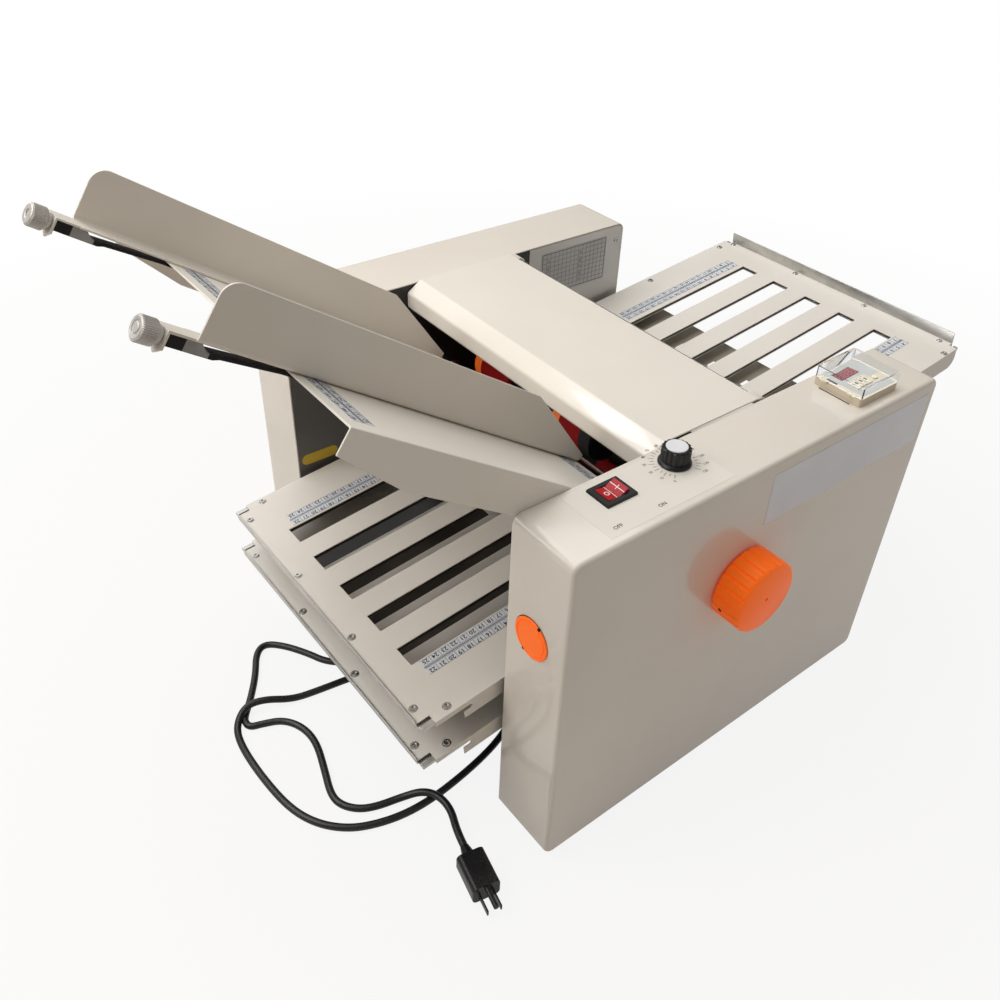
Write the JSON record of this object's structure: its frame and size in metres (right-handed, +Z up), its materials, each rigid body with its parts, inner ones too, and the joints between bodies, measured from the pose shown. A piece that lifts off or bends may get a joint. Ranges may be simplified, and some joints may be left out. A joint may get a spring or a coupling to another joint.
{
  "type": "paper folding machine",
  "caption": "Desktop buckle folder with a sloping feed table and side guides, slotted fold plates on both sides, geared fold rollers, hinged cover, handwheel and switches.",
  "frame": {"origin": "on the resting plane under the middle of the machine's outline, measured without the mains lead", "axes": "+X is the paper's way, from the feed table's raised end towards the right fold plate; +Y from the operator's side to the far side; +Z up"},
  "size_m": [0.8544, 0.5326, 0.5508],
  "materials": {
    "body_paint": "semi-gloss",
    "frame_paint": "semi-gloss",
    "plate_paint": "satin",
    "table_paint": "satin",
    "zinc": "satin",
    "steel": "polished",
    "guide_paint": "satin",
    "knob_metal": "satin",
    "red_rubber": "matte",
    "roller_rubber": "satin",
    "black_rubber": "matte",
    "gear_steel": "satin",
    "motor_paint": "satin",
    "wheel_plastic": "satin",
    "orange_plastic": "gloss",
    "red_plastic": "gloss",
    "black_plastic": "satin",
    "cream_plastic": "satin",
    "clear_plastic": "gloss",
    "key_plastic": "satin",
    "cord_black": "matte"
  },
  "bodies": {
    "frame": {"near_side_cover": "body_paint", "far_side_cover": "body_paint", "near_side_plate": "frame_paint", "far_side_plate": "frame_paint", "base_pan": "frame_paint", "tie_rods": "steel", "roller_bearings": "steel", "rubber_feet": "black_rubber", "drive_belts": "black_rubber", "feed_table": "table_paint", "rocker_bezel": "black_plastic", "cord_gland": "black_plastic", "separator_block": "black_plastic", "upper_left_plate": "plate_paint", "lower_left_plate": "plate_paint", "right_plate": "plate_paint", "upper_left_backing": "zinc", "lower_left_backing": "zinc", "right_backing": "zinc", "short_guide_plate": "zinc", "drive_motor": "motor_paint", "access_cap": "orange_plastic", "counter_base": "cream_plastic", "power_cord": "cord_black", "power_plug": "cord_black"},
    "cover": {"top_cover": "body_paint"},
    "near_guide": {"near_guide": "guide_paint", "near_clamp_bar": "black_plastic"},
    "far_guide": {"far_guide": "guide_paint", "far_clamp_bar": "black_plastic"},
    "near_lock_knob": {"near_lock_knob": "knob_metal"},
    "far_lock_knob": {"far_lock_knob": "knob_metal"},
    "upper_left_stop": {"upper_left_stop": "zinc"},
    "lower_left_stop": {"lower_left_stop": "zinc"},
    "right_stop": {"right_stop": "zinc"},
    "drive": {"handwheel": "wheel_plastic", "drive_shaft": "steel", "drive_wheels": "gear_steel"},
    "feed": {"feed_shaft": "steel", "feed_tyres": "red_rubber"},
    "motor_pulley": {"motor_pulley": "gear_steel"},
    "rocker": {"rocker": "red_plastic"},
    "speed_knob": {"speed_knob": "wheel_plastic"},
    "counter_lid": {"counter_lid": "clear_plastic"},
    "counter_reset_key": {"counter_reset_key": "key_plastic"},
    "fold_1": {"fold_roller_1": "roller_rubber", "fold_gear_1": "gear_steel"},
    "fold_2": {"fold_roller_2": "roller_rubber", "fold_gear_2": "gear_steel"},
    "fold_3": {"fold_roller_3": "roller_rubber", "fold_gear_3": "gear_steel"},
    "fold_4": {"fold_roller_4": "roller_rubber", "fold_gear_4": "gear_steel"},
    "fold_5": {"fold_roller_5": "roller_rubber", "fold_gear_5": "gear_steel"},
    "fold_6": {"fold_roller_6": "roller_rubber", "fold_gear_6": "gear_steel"},
    "counter_preset_key_1": {"counter_preset_key_1": "key_plastic"},
    "counter_preset_key_2": {"counter_preset_key_2": "key_plastic"},
    "counter_preset_key_3": {"counter_preset_key_3": "key_plastic"}
  },
  "joints": [
    {"name": "cover_hinge", "type": "hinge", "parent": "frame", "child": "cover", "pos_m": [0.06648, 0.01375, 0.351], "axis": [0, 1, 0], "range_deg": [0, 110]},
    {"name": "near_guide_slide", "type": "slide", "parent": "frame", "child": "near_guide", "axis": [0, 1, 0], "range_m": [-0.045, 0.055]},
    {"name": "far_guide_slide", "type": "slide", "parent": "frame", "child": "far_guide", "axis": [0, -1, 0], "range_m": [-0.045, 0.055]},
    {"name": "near_lock_knob_turn", "type": "hinge", "parent": "near_guide", "child": "near_lock_knob", "pos_m": [-0.41053, -0.08225, 0.52674], "axis": [0.8231, 0, -0.5678], "continuous": true},
    {"name": "far_lock_knob_turn", "type": "hinge", "parent": "far_guide", "child": "far_lock_knob", "pos_m": [-0.41053, 0.10975, 0.52674], "axis": [0.8231, 0, -0.5678], "continuous": true},
    {"name": "upper_left_stop_slide", "type": "slide", "parent": "frame", "child": "upper_left_stop", "axis": [-0.993, 0, -0.1184], "range_m": [0, 0.2]},
    {"name": "lower_left_stop_slide", "type": "slide", "parent": "frame", "child": "lower_left_stop", "axis": [-0.993, 0, -0.1184], "range_m": [0, 0.2]},
    {"name": "right_stop_slide", "type": "slide", "parent": "frame", "child": "right_stop", "axis": [0.993, 0, 0.1184], "range_m": [0, 0.2]},
    {"name": "handwheel_spin", "type": "hinge", "parent": "frame", "child": "drive", "pos_m": [-0.01402, 0.01375, 0.2375], "axis": [0, 1, 0], "continuous": true},
    {"name": "fold_1_spin", "type": "hinge", "parent": "frame", "child": "fold_1", "pos_m": [0.05407, 0.01375, 0.26407], "axis": [0, 1, 0], "continuous": true},
    {"name": "fold_2_spin", "type": "hinge", "parent": "frame", "child": "fold_2", "pos_m": [0.05163, 0.01375, 0.22414], "axis": [0, 1, 0], "continuous": true},
    {"name": "fold_3_spin", "type": "hinge", "parent": "frame", "child": "fold_3", "pos_m": [0.05651, 0.01375, 0.18444], "axis": [0, 1, 0], "continuous": true},
    {"name": "fold_4_spin", "type": "hinge", "parent": "frame", "child": "fold_4", "pos_m": [0.01904, 0.01375, 0.17043], "axis": [0, 1, 0], "continuous": true},
    {"name": "fold_5_spin", "type": "hinge", "parent": "frame", "child": "fold_5", "pos_m": [0.02252, 0.01375, 0.13058], "axis": [0, 1, 0], "continuous": true},
    {"name": "fold_6_spin", "type": "hinge", "parent": "frame", "child": "fold_6", "pos_m": [0.06247, 0.01375, 0.13268], "axis": [0, 1, 0], "continuous": true},
    {"name": "feed_spin", "type": "hinge", "parent": "frame", "child": "feed", "pos_m": [-0.02752, 0.01375, 0.299], "axis": [0, 1, 0], "continuous": true},
    {"name": "motor_spin", "type": "hinge", "parent": "frame", "child": "motor_pulley", "pos_m": [0.12347, 0.01375, 0.068], "axis": [0, 1, 0], "continuous": true},
    {"name": "rocker_tilt", "type": "hinge", "parent": "frame", "child": "rocker", "pos_m": [-0.13452, -0.18715, 0.354], "axis": [0, 1, 0], "range_deg": [0, 18]},
    {"name": "speed_knob_turn", "type": "hinge", "parent": "frame", "child": "speed_knob", "pos_m": [-0.06652, -0.18655, 0.355], "axis": [0, 0, 1], "range_deg": [-160, 128]},
    {"name": "counter_lid_hinge", "type": "hinge", "parent": "frame", "child": "counter_lid", "pos_m": [0.12408, -0.198, 0.36315], "axis": [0, -1, 0], "range_deg": [0, 110]},
    {"name": "counter_reset_press", "type": "slide", "parent": "frame", "child": "counter_reset_key", "axis": [0, 0, -1], "range_m": [0, 0.0012], "stiffness_N_per_m": 300, "springref_m": -0.001},
    {"name": "counter_preset_press_1", "type": "slide", "parent": "frame", "child": "counter_preset_key_1", "axis": [0, 0, -1], "range_m": [0, 0.0012], "stiffness_N_per_m": 300, "springref_m": -0.001},
    {"name": "counter_preset_press_2", "type": "slide", "parent": "frame", "child": "counter_preset_key_2", "axis": [0, 0, -1], "range_m": [0, 0.0012], "stiffness_N_per_m": 300, "springref_m": -0.001},
    {"name": "counter_preset_press_3", "type": "slide", "parent": "frame", "child": "counter_preset_key_3", "axis": [0, 0, -1], "range_m": [0, 0.0012], "stiffness_N_per_m": 300, "springref_m": -0.001}
  ],
  "couplings": [
    {"joint": "fold_1_spin", "follows": "handwheel_spin", "ratio": 2.35},
    {"joint": "fold_2_spin", "follows": "handwheel_spin", "ratio": -2.35},
    {"joint": "fold_3_spin", "follows": "handwheel_spin", "ratio": 2.35},
    {"joint": "fold_4_spin", "follows": "handwheel_spin", "ratio": -2.35},
    {"joint": "fold_5_spin", "follows": "handwheel_spin", "ratio": 2.35},
    {"joint": "fold_6_spin", "follows": "handwheel_spin", "ratio": -2.35},
    {"joint": "feed_spin", "follows": "handwheel_spin", "ratio": 1},
    {"joint": "motor_spin", "follows": "handwheel_spin", "ratio": 3}
  ]
}
